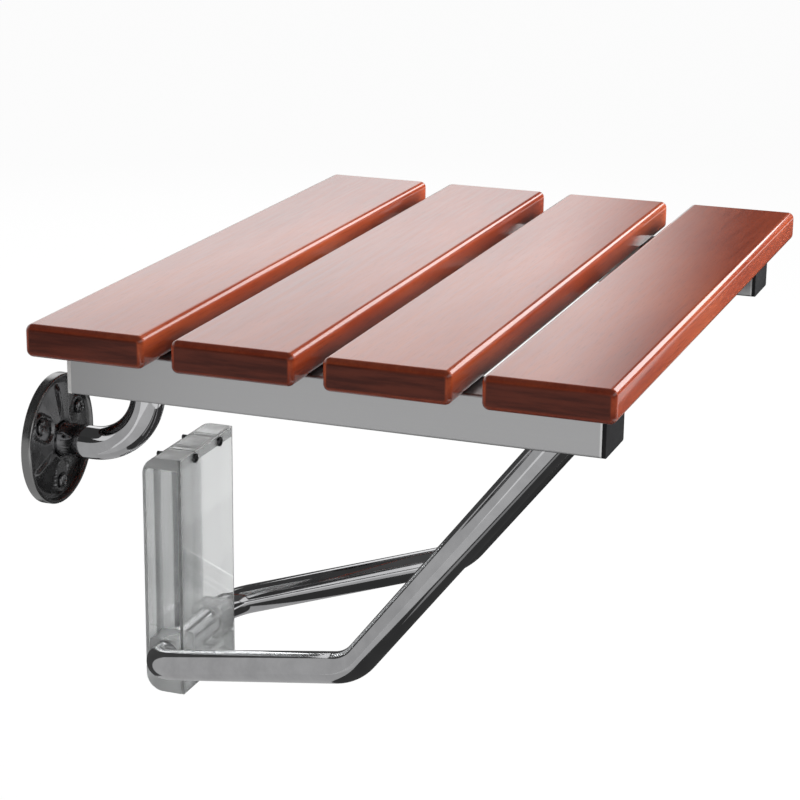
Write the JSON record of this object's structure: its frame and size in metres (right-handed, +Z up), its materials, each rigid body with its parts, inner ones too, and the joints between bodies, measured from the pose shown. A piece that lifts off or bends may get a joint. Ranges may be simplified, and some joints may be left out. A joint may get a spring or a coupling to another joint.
{
  "type": "fold down wall seat",
  "caption": "Wall-mounted seat of wooden slats on rails, folding up on bent posts, with a U-shaped leg sliding in a clear wall guide.",
  "frame": {"origin": "on the wall plane, midway between the two flanges, at the height of the flanges' axes", "axes": "+X along the wall, +Y into the wall (the seat stands out towards -Y), +Z up"},
  "size_m": [0.508, 0.406, 0.332],
  "materials": {
    "flange_chrome": "dark polished",
    "post_steel": "polished",
    "wall_screw_steel": "polished",
    "end_plug": "moulded",
    "bush_plastic": "moulded",
    "guide_clear": "clear gloss",
    "slide_plastic": "translucent",
    "leg_steel": "polished",
    "pin_steel": "plain",
    "slat_wood": "gloss lacquer",
    "rail_steel": "satin",
    "cap_black": "moulded",
    "cap_grey": "satin"
  },
  "bodies": {
    "wall_mount": {"left_flange": "flange_chrome", "right_flange": "flange_chrome", "left_flange_screws": "wall_screw_steel", "right_flange_screws": "wall_screw_steel", "left_post": "post_steel", "right_post": "post_steel", "left_post_plug": "end_plug", "right_post_plug": "end_plug", "left_post_bush": "bush_plastic", "right_post_bush": "bush_plastic", "guide_body": "guide_clear", "guide_cover": "guide_clear", "guide_screws": "wall_screw_steel"},
    "slide_bushes": {"left_slide_bush": "slide_plastic", "right_slide_bush": "slide_plastic"},
    "leg": {"support_leg": "leg_steel", "left_leg_plug": "end_plug", "right_leg_plug": "end_plug", "left_leg_bush": "bush_plastic", "right_leg_bush": "bush_plastic", "left_leg_pin": "pin_steel", "right_leg_pin": "pin_steel"},
    "seat": {"slat_1": "slat_wood", "slat_2": "slat_wood", "slat_3": "slat_wood", "slat_4": "slat_wood", "left_rail": "rail_steel", "right_rail": "rail_steel", "left_leg_bracket": "rail_steel", "right_leg_bracket": "rail_steel", "left_front_cap": "cap_black", "right_front_cap": "cap_black", "left_rear_cap": "cap_grey", "right_rear_cap": "cap_grey", "left_slat_screws": "pin_steel", "right_slat_screws": "pin_steel", "left_pivot_stud": "pin_steel", "right_pivot_stud": "pin_steel", "left_pivot_nut": "pin_steel", "right_pivot_nut": "pin_steel"}
  },
  "joints": [
    {"name": "seat_fold", "type": "hinge", "parent": "wall_mount", "child": "seat", "pos_m": [0, -0.07, 0.058], "axis": [-1, 0, 0], "range_deg": [0, 80]},
    {"name": "guide_slide", "type": "slide", "parent": "wall_mount", "child": "slide_bushes", "axis": [0, 0, 1], "range_m": [0, 0.13]},
    {"name": "leg_swing", "type": "hinge", "parent": "slide_bushes", "child": "leg", "pos_m": [0, -0.015, -0.203], "axis": [-1, 0, 0], "range_deg": [0, 38]}
  ],
  "couplings": [
    {"joint": "guide_slide", "follows": "seat_fold", "m_per_rad": 0.09297},
    {"joint": "leg_swing", "follows": "seat_fold", "ratio": 0.47375}
  ]
}
